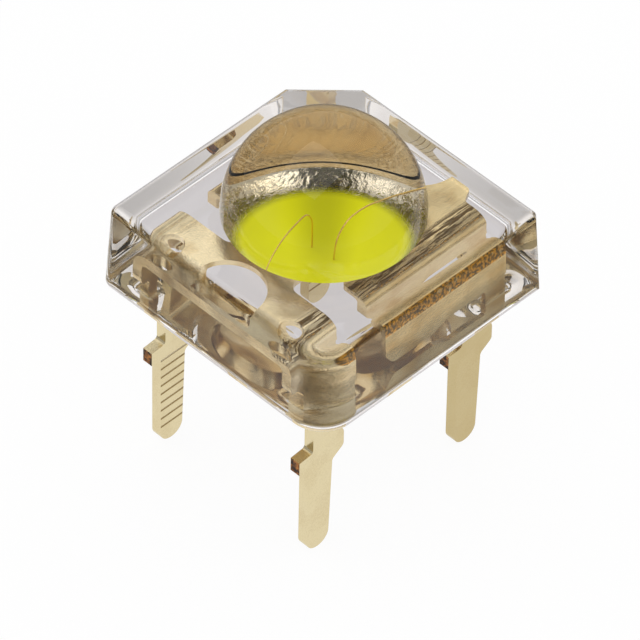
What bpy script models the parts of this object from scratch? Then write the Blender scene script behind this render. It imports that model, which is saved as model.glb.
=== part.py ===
"""Superflux LED: a square cast lens on two folded leadframes that stand on four legs.

Origin: under the lens axis, on the plane that the four leg tips stand on. +Z is up, the
cup's leadframe is on the -X side and the bond post's leadframe on the +X side.
Heights called "over the underside" are measured from the lower face of the cast body.
"""
from math import acos, ceil, cos, pi, radians, sin, sqrt, tau

import bmesh
import bpy
from mathutils import Matrix, Vector

MM = 0.001

# Cast body and dome
BODY_MARGIN = 1.27 * MM
BODY_HEIGHT = 2.50 * MM
BODY_LEAN = 0.16 * MM
TOP_EDGE_ROUND = 0.22 * MM
DOME_RADIUS = 2.50 * MM
POLARITY_CHAMFER = 1.45 * MM
KEY_CHAMFER = 0.24 * MM
FRONT_CORNER_RADIUS = 0.95 * MM
SIDE_CORNER_RADIUS = 0.40 * MM
UNDERSIDE_RECESS = 0.08 * MM
UNDERSIDE_LIP = 0.10 * MM

# Sheet that both leadframes are stamped and folded from
SHEET = 0.30 * MM
SHEET_DEPTH = 0.87 * MM
BEND_RADIUS = 0.15 * MM
LEG_SETBACK = 0.70 * MM
LEG_SHIFT_X = -0.10 * MM
LEG_SHIFT_Y = 0.10 * MM

# Legs
LEG_WIDTH = 0.82 * MM
LEG_LEFT = 0.37 * MM
TIP_WIDTH = 0.72 * MM
LEG_LENGTH = 5.35 * MM
NECK_CUT = 0.16 * MM
STUB_TOP = -1.98 * MM
STUB_BOTTOM = -2.40 * MM
STUB_REACH = 0.30 * MM
STUB_SLOPE = 0.04 * MM
STUB_ROUND = 0.10 * MM
BULGE_TOP = -1.45 * MM
BULGE_BOTTOM = -2.62 * MM
BULGE_REACH = 0.38 * MM
BULGE_DROP = 0.25 * MM
BULGE_ROUND = 0.30 * MM

# Cup leadframe in plan
FLANGE_WIDTH = 0.37 * MM
NECK_WIDTH = 1.90 * MM
NECK_FILLET = 0.30 * MM
STRIP_OUTER_REACH = 0.51 * MM
STRIP_INNER_REACH = 0.05 * MM
PAD_SKIRT_BOTTOM = 0.60 * MM
PAD_SKIRT_ROUND = 0.30 * MM
WINDOW_EDGE = 0.28 * MM
WIRE_LAND = 0.43 * MM
HOLE_DIAMETER = 0.68 * MM
HOLE_EDGE = 0.38 * MM
HOLE_SPACE = 1.03 * MM

# Reflector cup
RIM_RADIUS = 1.47 * MM
CUP_DEPTH = 0.50 * MM
CUP_FLOOR_RADIUS = 0.98 * MM
CUP_WALL = 0.16 * MM
CUP_FLOOR = 0.22 * MM

# Post leadframe in plan
FRAME_GAP = 0.14 * MM
POST_LEFT_X = -1.15 * MM
POST_RIGHT_REACH = 0.04 * MM
HORN_ROUND = 0.15 * MM
EAR_REACH = 0.38 * MM
EAR_WIDTH = 0.60 * MM
EAR_ROUND = 0.15 * MM
NOTCH_EDGE = 0.02 * MM
BOND_WEB = 0.26 * MM
SKIRT_LOBE_BOTTOM = 0.27 * MM
SKIRT_NOTCH_BOTTOM = 0.46 * MM
SKIRT_LOBE_START_X = -0.90 * MM
SKIRT_LOBE_END_X = 0.45 * MM
SKIRT_NOTCH_X = 0.95 * MM
SKIRT_ROUND = 0.25 * MM

# Chip, die attach, phosphor and bond wires
CHIP_LENGTH = 0.60 * MM
CHIP_WIDTH = 0.30 * MM
CHIP_HEIGHT = 0.13 * MM
ATTACH_MARGIN = 0.03 * MM
ATTACH_HEIGHT = 0.02 * MM
FILL_DEPTH = 0.04 * MM
FILL_CROWN = 0.04 * MM
WIRE_DIAMETER = 0.03 * MM
BALL_DIAMETER = 0.09 * MM
BALL_HEIGHT = 0.03 * MM
PAD_INSET = 0.095 * MM
CUP_WIRE_CREST = 0.78 * MM
POST_WIRE_CREST = 0.57 * MM
WIRE_END_Y = -0.10 * MM

# Wire loops: share of the way to the stitch, share of the crest's height over the sheet
CUP_LOOP_RATIOS = ((0.01, 0.32), (0.03, 0.70), (0.11, 0.95), (0.30, 1.00), (0.58, 0.88), (0.84, 0.48))
POST_LOOP_RATIOS = ((0.01, 0.18), (0.05, 0.63), (0.15, 0.95), (0.28, 1.00), (0.49, 0.79), (0.70, 0.47))

# Gap kept between pieces that touch in the real lamp
CLEARANCE = 0.012 * MM
# Points closer than this are one point
SAME_POINT = 0.001 * MM

# Fineness of the round shapes
TURN_STEPS = 48
DOME_RINGS = 12
ARC_STEP = radians(15)
FLAT_ANGLE = radians(0.5)
BEND_STEPS = 5
ROUND_SEGMENTS = 3
WIRE_POINTS = 20

# Heights and lengths that follow from the sizes above
UNDERSIDE_Z = LEG_LENGTH
TOP_Z = UNDERSIDE_Z + BODY_HEIGHT
SHEET_TOP_Z = TOP_Z - SHEET_DEPTH
SHEET_MID_Z = SHEET_TOP_Z - SHEET / 2
CUP_FLOOR_Z = SHEET_TOP_Z - CUP_DEPTH
FILL_EDGE_Z = SHEET_TOP_Z - FILL_DEPTH
BEND_MID_RADIUS = BEND_RADIUS + SHEET / 2
BEND_LENGTH = BEND_MID_RADIUS * pi / 2
FLANGE_RADIUS = RIM_RADIUS + FLANGE_WIDTH
LEG_PITCH = 2 * (FLANGE_RADIUS + LEG_SETBACK)
FLAT_HALF = LEG_PITCH / 2 - BEND_MID_RADIUS
CUP_LEG_X = LEG_SHIFT_X - LEG_PITCH / 2
POST_LEG_X = LEG_SHIFT_X + LEG_PITCH / 2
BODY_WIDTH = LEG_PITCH + 2 * BODY_MARGIN
STRIP_OUTER_X = CUP_LEG_X - LEG_LEFT - STRIP_OUTER_REACH
STRIP_INNER_X = CUP_LEG_X - LEG_LEFT + LEG_WIDTH + STRIP_INNER_REACH
WINDOW_X = STRIP_OUTER_X + WINDOW_EDGE
WINDOW_RADIUS = -WINDOW_X - FLANGE_RADIUS - WIRE_LAND
HOLE_X = STRIP_OUTER_X + HOLE_EDGE
HOLE_PITCH = 2 * (WINDOW_RADIUS + HOLE_SPACE)
CUP_CLEARANCE_RADIUS = FLANGE_RADIUS + FRAME_GAP
POST_RIGHT_X = POST_LEG_X - LEG_LEFT + LEG_WIDTH + POST_RIGHT_REACH
EAR_X = POST_RIGHT_X + EAR_REACH
NOTCH_X = EAR_X - NOTCH_EDGE
NOTCH_RADIUS = NOTCH_X - CUP_CLEARANCE_RADIUS - BOND_WEB
EAR_HALF_SPAN = NOTCH_RADIUS + EAR_WIDTH
CUP_WIRE_END_X = -FLANGE_RADIUS - WIRE_DIAMETER
POST_WIRE_END_X = CUP_CLEARANCE_RADIUS + BOND_WEB / 2

MATERIALS = {
    "clear_epoxy": ((0.93, 0.91, 0.91), 0.05, 0.0),
    "gold_plate": ((0.83, 0.76, 0.52), 0.28, 1.0),
    "phosphor": ((0.83, 0.83, 0.02), 0.45, 0.0),
    "chip": ((0.30, 0.36, 0.42), 0.25, 0.0),
    "silver_paste": ((0.62, 0.61, 0.58), 0.50, 0.6),
    "gold_wire": ((0.80, 0.62, 0.28), 0.25, 1.0),
}


def clear_scene():
    """Remove every object, so the part starts from an empty scene."""
    for item in list(bpy.data.objects):
        bpy.data.objects.remove(item, do_unlink=True)


def new_collection(name):
    group = bpy.data.collections.new(name)
    bpy.context.scene.collection.children.link(group)
    return group


def material(name):
    """Principled material with the colour, roughness and metallic value of its entry."""
    made = bpy.data.materials.get(name)
    if made:
        return made
    colour, roughness, metallic = MATERIALS[name]
    made = bpy.data.materials.new(name)
    made.use_nodes = True
    shader = made.node_tree.nodes["Principled BSDF"]
    shader.inputs["Base Color"].default_value = (*colour, 1.0)
    shader.inputs["Roughness"].default_value = roughness
    shader.inputs["Metallic"].default_value = metallic
    if name == "clear_epoxy":
        shader.inputs["Transmission Weight"].default_value = 1.0
        shader.inputs["IOR"].default_value = 1.53
    return made


def add_object(name, data, group, colour=None):
    item = bpy.data.objects.new(name, data)
    group.objects.link(item)
    if colour:
        data.materials.append(material(colour))
    return item


def add_mesh(name, bm, group, colour=None):
    """Closed mesh object from a bmesh, with its faces turned out."""
    bmesh.ops.recalc_face_normals(bm, faces=bm.faces)
    mesh = bpy.data.meshes.new(name)
    bm.to_mesh(mesh)
    bm.free()
    return add_object(name, mesh, group, colour)


def evaluated_bmesh(item):
    """The object's shape with its modifiers, in world space."""
    bpy.context.view_layer.update()
    graph = bpy.context.evaluated_depsgraph_get()
    mesh = bpy.data.meshes.new_from_object(item.evaluated_get(graph))
    bm = bmesh.new()
    bm.from_mesh(mesh)
    bm.transform(item.matrix_world)
    bpy.data.meshes.remove(mesh)
    return bm


def as_cutter(item):
    item.hide_render = True
    item.display_type = "WIRE"
    return item


def combine(item, other, operation):
    """Exact Boolean of the object with another one, left as a modifier."""
    modifier = item.modifiers.new(operation.lower() + "_" + other.name, "BOOLEAN")
    modifier.operation = operation
    modifier.solver = "EXACT"
    modifier.object = other


def smooth_round_faces(item, angle=radians(35)):
    item.data.shade_smooth()
    item.data.set_sharp_from_angle(angle=angle)


def arc(centre_x, centre_y, radius, start, end):
    """Points on an arc, ends included; a corner of no radius each."""
    count = max(2, ceil(abs(end - start) / ARC_STEP - 1e-6))
    points = []
    for i in range(count + 1):
        turn = start + (end - start) * i / count
        points.append((centre_x + radius * cos(turn), centre_y + radius * sin(turn), 0.0))
    return points


def fillet_loop(corners):
    """Closed outline through the corners (x, y, radius), each rounded by its radius."""
    loop = []
    for i, (x, y, radius) in enumerate(corners):
        here = Vector((x, y))
        if radius <= 0:
            loop.append(here)
            continue
        before = (Vector(corners[i - 1][:2]) - here).normalized()
        after = (Vector(corners[(i + 1) % len(corners)][:2]) - here).normalized()
        opening = acos(max(-1.0, min(1.0, before.dot(after))))
        reach = radius * cos(opening / 2) / sin(opening / 2)
        centre = here + (before + after).normalized() * (radius / sin(opening / 2))
        start = here + before * reach - centre
        sweep = pi - opening
        side = 1.0 if before.x * after.y - before.y * after.x < 0 else -1.0
        count = max(1, ceil(sweep / ARC_STEP - 1e-6))
        for k in range(count + 1):
            loop.append(centre + Matrix.Rotation(side * sweep * k / count, 2) @ start)
    return [point for i, point in enumerate(loop) if (point - loop[i - 1]).length > SAME_POINT]


def flat_plate(name, loops, thickness, group):
    """Flat plate of the outline and its holes, centred on z = 0, as a welded bmesh."""
    curve = bpy.data.curves.new(name, "CURVE")
    curve.dimensions = "2D"
    curve.fill_mode = "BOTH"
    curve.extrude = thickness / 2
    for loop in loops:
        spline = curve.splines.new("POLY")
        spline.points.add(len(loop) - 1)
        for point, place in zip(spline.points, loop):
            point.co = (place.x, place.y, 0.0, 1.0)
        spline.use_cyclic_u = True
    item = add_object(name, curve, group)
    bm = evaluated_bmesh(item)
    bpy.data.objects.remove(item)
    bpy.data.curves.remove(curve)
    bmesh.ops.remove_doubles(bm, verts=bm.verts, dist=SAME_POINT)
    bmesh.ops.dissolve_degenerate(bm, edges=bm.edges, dist=SAME_POINT)
    bmesh.ops.dissolve_limit(bm, angle_limit=FLAT_ANGLE, verts=bm.verts, edges=bm.edges)
    return bm


def turned(name, profile, group, colour=None):
    """Solid turned about Z from a profile (radius, z) that runs down its outer side."""
    bm = bmesh.new()
    verts = [bm.verts.new((radius, 0.0, z)) for radius, z in profile]
    for a, b in zip(verts, verts[1:]):
        bm.edges.new((a, b))
    mesh = bpy.data.meshes.new(name)
    bm.to_mesh(mesh)
    bm.free()
    item = add_object(name, mesh, group, colour)
    screw = item.modifiers.new("turn", "SCREW")
    screw.axis = "Z"
    screw.angle = tau
    screw.steps = TURN_STEPS
    screw.render_steps = TURN_STEPS
    screw.use_merge_vertices = True
    screw.merge_threshold = SAME_POINT
    screw.use_smooth_shade = False
    return item


def developed(height):
    """Distance along the flat sheet, from the leg rows' middle, to a height on a leg."""
    bend_end_z = SHEET_MID_Z - BEND_MID_RADIUS
    return FLAT_HALF + BEND_LENGTH + bend_end_z - (UNDERSIDE_Z + height)


def fold(bm):
    """Fold the flat blank down along both leg rows; the faces also part at the underside."""
    stops = [FLAT_HALF + BEND_LENGTH * k / BEND_STEPS for k in range(BEND_STEPS + 1)]
    stops.append(developed(0.0))
    for side in (-1, 1):
        for stop in stops:
            parts = list(bm.verts) + list(bm.edges) + list(bm.faces)
            bmesh.ops.bisect_plane(bm, geom=parts, dist=SAME_POINT,
                                   plane_co=(0, side * stop, 0), plane_no=(0, 1, 0))
    for vert in bm.verts:
        side = 1.0 if vert.co.y > 0 else -1.0
        along = abs(vert.co.y)
        offset = vert.co.z
        past = along - FLAT_HALF
        if past <= 0:
            out, z = along, offset
        elif past <= BEND_LENGTH:
            turn = past / BEND_MID_RADIUS
            out = FLAT_HALF + (BEND_MID_RADIUS + offset) * sin(turn)
            z = (BEND_MID_RADIUS + offset) * cos(turn) - BEND_MID_RADIUS
        else:
            out = FLAT_HALF + BEND_MID_RADIUS + offset
            z = -BEND_MID_RADIUS - (past - BEND_LENGTH)
        vert.co = (vert.co.x, LEG_SHIFT_Y + side * out, SHEET_MID_Z + z)


def leg_right(leg_x):
    """Right edge of a leg from under its skirt to the tip."""
    edge = leg_x - LEG_LEFT + LEG_WIDTH
    return [
        (edge, developed(BULGE_TOP), BULGE_ROUND / 2),
        (edge + BULGE_REACH, developed(BULGE_TOP - BULGE_REACH), BULGE_ROUND),
        (edge + BULGE_REACH, developed(BULGE_BOTTOM + BULGE_DROP), BULGE_ROUND / 2),
        (edge, developed(BULGE_BOTTOM), BULGE_ROUND / 2),
        (leg_x - LEG_LEFT + TIP_WIDTH, developed(-LEG_LENGTH), TIP_WIDTH / 2 - SAME_POINT),
    ]


def leg_left(leg_x):
    """Left edge of a leg from its tip up to the neck, with the cut tie-bar stub."""
    edge = leg_x - LEG_LEFT
    return [
        (edge, developed(-LEG_LENGTH), TIP_WIDTH / 2 - SAME_POINT),
        (edge, developed(STUB_BOTTOM), 0.0),
        (edge - STUB_REACH, developed(STUB_BOTTOM), 0.0),
        (edge - STUB_REACH, developed(STUB_TOP), 0.0),
        (edge + NECK_CUT, developed(STUB_TOP + STUB_SLOPE), STUB_ROUND),
    ]


def mirrored(corners):
    """The same corners on the other leg row, in the order that closes the outline."""
    return [(x, -y, radius) for x, y, radius in reversed(corners)]


def cup_blank():
    """Outline, window and holes of the cup's leadframe before it is folded."""
    strip_edge = developed(PAD_SKIRT_BOTTOM)
    leg_edge = CUP_LEG_X - LEG_LEFT + LEG_WIDTH
    neck_edge = CUP_LEG_X - LEG_LEFT + NECK_CUT
    leg = [
        (STRIP_INNER_X, strip_edge, (STRIP_INNER_X - leg_edge) / 2),
        (leg_edge, strip_edge, (STRIP_INNER_X - leg_edge) / 2),
    ]
    leg += leg_right(CUP_LEG_X) + leg_left(CUP_LEG_X)
    leg += [
        (neck_edge, strip_edge, PAD_SKIRT_ROUND / 2),
        (STRIP_OUTER_X, strip_edge, PAD_SKIRT_ROUND),
    ]
    half_neck = NECK_WIDTH / 2
    start = acos(-sqrt(FLANGE_RADIUS**2 - half_neck**2) / FLANGE_RADIUS)
    flange = arc(0.0, -LEG_SHIFT_Y, FLANGE_RADIUS, -start, start)
    outline = [(STRIP_INNER_X, -LEG_SHIFT_Y - half_neck, NECK_FILLET)]
    outline += flange
    outline += [(STRIP_INNER_X, -LEG_SHIFT_Y + half_neck, NECK_FILLET)]
    outline += leg + mirrored(leg)
    window = arc(WINDOW_X, -LEG_SHIFT_Y, WINDOW_RADIUS, -pi / 2, pi / 2)
    loops = [fillet_loop(outline), fillet_loop(window)]
    for side in (-1, 1):
        centre_y = side * HOLE_PITCH / 2 - LEG_SHIFT_Y
        hole = arc(HOLE_X, centre_y, HOLE_DIAMETER / 2, 0.0, tau)[:-1]
        loops.append(fillet_loop(hole))
    return loops


def post_blank():
    """Outline of the bond post's leadframe before it is folded."""
    lobe = developed(SKIRT_LOBE_BOTTOM)
    notch = developed(SKIRT_NOTCH_BOTTOM)
    neck_edge = POST_LEG_X - LEG_LEFT + NECK_CUT
    leg_edge = POST_LEG_X - LEG_LEFT + LEG_WIDTH
    leg = [
        (POST_RIGHT_X, developed(PAD_SKIRT_BOTTOM), (POST_RIGHT_X - leg_edge) / 2),
        (leg_edge, developed(PAD_SKIRT_BOTTOM), (POST_RIGHT_X - leg_edge) / 2),
    ]
    leg += leg_right(POST_LEG_X) + leg_left(POST_LEG_X)
    leg += [
        (neck_edge, notch, SKIRT_ROUND / 2),
        (SKIRT_NOTCH_X, notch, SKIRT_ROUND / 2),
        (SKIRT_LOBE_END_X, lobe, SKIRT_ROUND),
        (SKIRT_LOBE_START_X, lobe, SKIRT_ROUND),
        (POST_LEFT_X, developed(PAD_SKIRT_BOTTOM), SKIRT_ROUND / 2),
    ]
    tip_turn = acos(POST_LEFT_X / CUP_CLEARANCE_RADIUS)
    cup_side = arc(0.0, -LEG_SHIFT_Y, CUP_CLEARANCE_RADIUS, tip_turn, -tip_turn)
    cup_side[0] = (*cup_side[0][:2], HORN_ROUND)
    cup_side[-1] = (*cup_side[-1][:2], HORN_ROUND)
    notch_arc = arc(NOTCH_X, -LEG_SHIFT_Y, NOTCH_RADIUS, 3 * pi / 2, pi / 2)
    ear_step = EAR_X - POST_RIGHT_X
    ear = [
        (EAR_X, NOTCH_RADIUS - LEG_SHIFT_Y, 0.0),
        (EAR_X, EAR_HALF_SPAN - LEG_SHIFT_Y, EAR_ROUND),
        (POST_RIGHT_X, EAR_HALF_SPAN - LEG_SHIFT_Y + ear_step / 2, EAR_ROUND),
    ]
    ear_below = [(x, -y - 2 * LEG_SHIFT_Y, radius) for x, y, radius in reversed(ear)]
    outline = ear_below + notch_arc + ear + leg + cup_side + mirrored(leg)
    return [fillet_loop(outline)]


def folded_frame(name, loops, group, colour):
    bm = flat_plate(name + "_blank", loops, SHEET, group)
    fold(bm)
    return add_mesh(name, bm, group, colour)


def wall_radius(z):
    """Radius of the cup's sloped inner wall at a height."""
    rise = (z - CUP_FLOOR_Z) / CUP_DEPTH
    return CUP_FLOOR_RADIUS + (RIM_RADIUS - CUP_FLOOR_RADIUS) * rise


def make_cup_leadframe(group, cutters):
    frame = folded_frame("cup_leadframe", cup_blank(), group, "gold_plate")
    boss_top = SHEET_MID_Z
    boss_bottom = CUP_FLOOR_Z - CUP_FLOOR
    boss = turned("cup_boss", [
        (0.0, boss_top),
        (wall_radius(SHEET_TOP_Z - SHEET) + CUP_WALL * sqrt(2), boss_top),
        (CUP_FLOOR_RADIUS + CUP_WALL, boss_bottom),
        (0.0, boss_bottom),
    ], cutters)
    above = SHEET_TOP_Z + SHEET
    hollow = turned("cup_hollow", [
        (0.0, above),
        (wall_radius(above), above),
        (CUP_FLOOR_RADIUS, CUP_FLOOR_Z),
        (0.0, CUP_FLOOR_Z),
    ], cutters)
    combine(frame, as_cutter(boss), "UNION")
    combine(frame, as_cutter(hollow), "DIFFERENCE")
    return frame


def make_post_leadframe(group):
    return folded_frame("post_leadframe", post_blank(), group, "gold_plate")


def make_box(name, size, bottom_z, group, colour):
    bm = bmesh.new()
    bmesh.ops.create_cube(bm, size=1.0)
    bmesh.ops.scale(bm, vec=size, verts=bm.verts)
    bmesh.ops.translate(bm, vec=(0, 0, bottom_z + size[2] / 2), verts=bm.verts)
    return add_mesh(name, bm, group, colour)


def make_chip(group):
    """Chip on its layer of silver paste, in the middle of the cup's floor."""
    attach_z = CUP_FLOOR_Z + CLEARANCE
    attach_size = (CHIP_WIDTH + 2 * ATTACH_MARGIN, CHIP_LENGTH + 2 * ATTACH_MARGIN, ATTACH_HEIGHT)
    make_box("die_attach", attach_size, attach_z, group, "silver_paste")
    chip_z = attach_z + ATTACH_HEIGHT + CLEARANCE
    chip = make_box("led_chip", (CHIP_WIDTH, CHIP_LENGTH, CHIP_HEIGHT), chip_z, group, "chip")
    return chip, chip_z + CHIP_HEIGHT


def wire_path(foot, end, crest, loop):
    """Bond wire from its ball up, over in the given loop and down to its stitch."""
    knots = [foot]
    for way, rise in loop:
        plan = foot.lerp(end, way)
        knots.append(Vector((plan.x, plan.y, SHEET_TOP_Z + crest * rise)))
    knots += [end.lerp(foot, 0.03) + Vector((0, 0, WIRE_DIAMETER)), end]
    return smooth_points(knots, WIRE_POINTS)


def smooth_points(knots, count):
    """Points at equal steps of the knots' running length on a smooth curve through them."""
    lengths = [0.0]
    for a, b in zip(knots, knots[1:]):
        lengths.append(lengths[-1] + (b - a).length)
    tangents = []
    for i, knot in enumerate(knots):
        low, high = max(i - 1, 0), min(i + 1, len(knots) - 1)
        tangents.append((knots[high] - knots[low]) / (lengths[high] - lengths[low]))
    points = []
    for k in range(count):
        reach = lengths[-1] * k / (count - 1)
        i = max(j for j in range(len(knots) - 1) if lengths[j] <= reach + 1e-12)
        span = lengths[i + 1] - lengths[i]
        u = (reach - lengths[i]) / span
        points.append(knots[i] * (2 * u**3 - 3 * u**2 + 1) + knots[i + 1] * (3 * u**2 - 2 * u**3)
                      + tangents[i] * span * (u**3 - 2 * u**2 + u)
                      + tangents[i + 1] * span * (u**3 - u**2))
    return points


def make_wire(name, foot, end, crest, loop, group, cutters):
    """Gold wire from the ball on its chip pad, over in its loop, to its stitch on the sheet."""
    curve = bpy.data.curves.new(name, "CURVE")
    curve.dimensions = "3D"
    curve.bevel_depth = WIRE_DIAMETER / 2
    curve.bevel_resolution = 1
    curve.use_fill_caps = True
    points = wire_path(foot, end, crest, loop)
    spline = curve.splines.new("POLY")
    spline.points.add(len(points) - 1)
    for point, place in zip(spline.points, points):
        point.co = (*place, 1.0)
    item = add_object(name, curve, group)
    bm = evaluated_bmesh(item)
    bpy.data.objects.remove(item)
    bpy.data.curves.remove(curve)
    bmesh.ops.remove_doubles(bm, verts=bm.verts, dist=SAME_POINT)
    wire = add_mesh(name, bm, group, "gold_wire")
    ball = bmesh.new()
    bmesh.ops.create_cone(ball, cap_ends=True, segments=12, radius1=BALL_DIAMETER / 2,
                          radius2=BALL_DIAMETER / 3, depth=BALL_HEIGHT)
    bmesh.ops.translate(ball, vec=foot - Vector((0, 0, WIRE_DIAMETER / 4)), verts=ball.verts)
    combine(wire, as_cutter(add_mesh(name + "_ball", ball, cutters)), "UNION")
    return wire


def make_wires(chip_top, group, cutters):
    pad_y = CHIP_LENGTH / 2 - PAD_INSET
    foot_z = chip_top + CLEARANCE + BALL_HEIGHT / 2 + WIRE_DIAMETER / 4
    end_z = SHEET_TOP_Z + CLEARANCE + WIRE_DIAMETER
    cup_wire = make_wire("bond_wire_cup", Vector((0, pad_y, foot_z)),
                         Vector((CUP_WIRE_END_X, WIRE_END_Y, end_z)),
                         CUP_WIRE_CREST, CUP_LOOP_RATIOS, group, cutters)
    post_wire = make_wire("bond_wire_post", Vector((0, -pad_y, foot_z)),
                          Vector((POST_WIRE_END_X, WIRE_END_Y, end_z)),
                          POST_WIRE_CREST, POST_LOOP_RATIOS, group, cutters)
    return cup_wire, post_wire


def swell(bm, gap):
    """Move every face of a clean closed mesh out by the gap."""
    bm.normal_update()
    moves = [vert.normal * vert.calc_shell_factor() * gap for vert in bm.verts]
    for vert, move in zip(bm.verts, moves):
        vert.co += move


def grown(item, gap, group):
    """Copy of the finished piece, every face moved out by the gap, as a cutter."""
    bm = evaluated_bmesh(item)
    bmesh.ops.remove_doubles(bm, verts=bm.verts, dist=SAME_POINT)
    bmesh.ops.dissolve_degenerate(bm, edges=bm.edges, dist=SAME_POINT)
    bmesh.ops.dissolve_limit(bm, angle_limit=FLAT_ANGLE, verts=bm.verts, edges=bm.edges)
    bmesh.ops.triangulate(bm, faces=bm.faces)
    swell(bm, gap)
    return as_cutter(add_mesh(item.name + "_seat", bm, group))


def make_phosphor(chip, wires, group, cutters):
    """Phosphor fill: a crowned pool in the cup, moulded round the chip and the wires.

    Returns the fill and the seat of the whole pool in the epoxy over it.
    """
    edge_radius = wall_radius(FILL_EDGE_Z) - CLEARANCE * sqrt(2)
    floor_z = CUP_FLOOR_Z + CLEARANCE
    profile = []
    for k in range(5):
        reach = k / 4
        profile.append((edge_radius * reach, FILL_EDGE_Z + FILL_CROWN * (1 - reach**2)))
    profile.append((wall_radius(floor_z) - CLEARANCE * sqrt(2), floor_z))
    profile.append((0.0, floor_z))
    fill = turned("phosphor_fill", profile, group, "phosphor")
    pool_seat = grown(fill, CLEARANCE, cutters)
    seat_size = (CHIP_WIDTH + 2 * ATTACH_MARGIN + 2 * CLEARANCE,
                 CHIP_LENGTH + 2 * ATTACH_MARGIN + 2 * CLEARANCE,
                 SHEET)
    seat_bottom = CUP_FLOOR_Z + ATTACH_HEIGHT + 2 * CLEARANCE - SHEET
    combine(fill, as_cutter(make_box("attach_seat", seat_size, seat_bottom, cutters, None)), "DIFFERENCE")
    combine(fill, grown(chip, CLEARANCE, cutters), "DIFFERENCE")
    for wire in wires:
        combine(fill, grown(wire, CLEARANCE, cutters), "DIFFERENCE")
    return fill, pool_seat


def body_outline(inset):
    """Square outline with its four unlike corners, moved in from the body's own outline."""
    half = BODY_WIDTH / 2 - inset
    key = KEY_CHAMFER - inset * (2 - sqrt(2))
    polarity = POLARITY_CHAMFER - inset * (2 - sqrt(2))
    return fillet_loop([
        (-half, -half, FRONT_CORNER_RADIUS - inset),
        (half - key, -half, 0.0),
        (half, -half + key, 0.0),
        (half, half - polarity, 0.0),
        (half - polarity, half, 0.0),
        (-half, half, SIDE_CORNER_RADIUS - inset),
    ])


def tapered_block(inset, low_z, height, lean):
    """Block over the inset body outline whose sides lean in by the same amount each."""
    bm = bmesh.new()
    base = bm.faces.new([bm.verts.new((p.x, p.y, low_z)) for p in body_outline(inset)])
    raised = bmesh.ops.extrude_face_region(bm, geom=[base])
    top = [part for part in raised["geom"] if isinstance(part, bmesh.types.BMVert)]
    bmesh.ops.translate(bm, vec=(0, 0, height), verts=top)
    narrowing = 1 - 2 * lean / (BODY_WIDTH - 2 * inset)
    bmesh.ops.scale(bm, vec=(narrowing, narrowing, 1), verts=top)
    bmesh.ops.recalc_face_normals(bm, faces=bm.faces)
    return bm, top


def make_epoxy(seats, group, cutters):
    """Cast body: a tapered block with a rounded top edge, a recessed underside and a dome."""
    bm, top = tapered_block(0.0, UNDERSIDE_Z, BODY_HEIGHT, BODY_LEAN)
    rim = [edge for edge in bm.edges if all(vert in top for vert in edge.verts)]
    bmesh.ops.bevel(bm, geom=rim, offset=TOP_EDGE_ROUND, offset_type="OFFSET",
                    segments=ROUND_SEGMENTS, profile=0.5, affect="EDGES")
    body = add_mesh("epoxy_body", bm, group, "clear_epoxy")
    recess = tapered_block(UNDERSIDE_LIP - UNDERSIDE_RECESS, UNDERSIDE_Z - UNDERSIDE_RECESS,
                           2 * UNDERSIDE_RECESS, 2 * UNDERSIDE_RECESS)[0]
    combine(body, as_cutter(add_mesh("underside_recess", recess, cutters)), "DIFFERENCE")
    skirt = SHEET_DEPTH / 2
    profile = [(DOME_RADIUS * sin(pi / 2 * k / DOME_RINGS), TOP_Z + DOME_RADIUS * cos(pi / 2 * k / DOME_RINGS))
               for k in range(DOME_RINGS + 1)]
    profile += [(DOME_RADIUS, TOP_Z - skirt), (0.0, TOP_Z - skirt)]
    combine(body, as_cutter(turned("dome", profile, cutters)), "UNION")
    for seat in seats:
        combine(body, seat, "DIFFERENCE")
    return body


def main():
    clear_scene()
    parts = new_collection("superflux_led")
    cutters = new_collection("cutters")
    cup_frame = make_cup_leadframe(parts, cutters)
    post_frame = make_post_leadframe(parts)
    chip, chip_top = make_chip(parts)
    wires = make_wires(chip_top, parts, cutters)
    fill, pool_seat = make_phosphor(chip, wires, parts, cutters)
    seats = [grown(piece, CLEARANCE, cutters) for piece in (cup_frame, post_frame, *wires)]
    body = make_epoxy([*seats, pool_seat], parts, cutters)
    for piece in (cup_frame, post_frame, fill, body, *wires):
        smooth_round_faces(piece)


main()
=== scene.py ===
"""Superflux LED on four legs: clear cast body, two folded plated leadframes, a cup of phosphor.

Lengths are in metres. The origin is under the lens axis, on the plane that the leg tips stand on.
"""
import math

import bmesh
import bpy
import numpy as np
from mathutils import Matrix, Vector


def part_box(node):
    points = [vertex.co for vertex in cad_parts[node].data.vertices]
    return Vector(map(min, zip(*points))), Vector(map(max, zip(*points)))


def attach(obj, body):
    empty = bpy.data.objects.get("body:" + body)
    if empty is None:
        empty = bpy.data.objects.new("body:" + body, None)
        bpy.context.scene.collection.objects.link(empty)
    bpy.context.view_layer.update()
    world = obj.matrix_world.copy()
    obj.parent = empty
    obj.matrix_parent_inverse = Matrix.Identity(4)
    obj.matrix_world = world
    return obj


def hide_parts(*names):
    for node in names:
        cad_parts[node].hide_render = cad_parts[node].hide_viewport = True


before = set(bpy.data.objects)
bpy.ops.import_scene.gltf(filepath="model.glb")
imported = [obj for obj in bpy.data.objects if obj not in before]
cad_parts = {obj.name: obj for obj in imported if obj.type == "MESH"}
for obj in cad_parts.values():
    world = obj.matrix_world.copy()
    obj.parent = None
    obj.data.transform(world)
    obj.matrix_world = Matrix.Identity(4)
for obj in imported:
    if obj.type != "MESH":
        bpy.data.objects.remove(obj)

bl_info = {
    "name": "Superflux LED",
    "version": (1, 0, 0),
    "blender": (4, 5, 0),
    "location": "View3D > Sidebar > Superflux",
    "description": "Builds a square clear LED with its leadframes, phosphor and bond wires",
    "category": "Add Mesh",
}

MM = 0.001
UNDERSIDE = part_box("epoxy_body")[0].z
# Points of an outline closer than this are one point, and the same for points of a surface
SAME = 0.001 * MM
WELD = 0.0002 * MM
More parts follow.
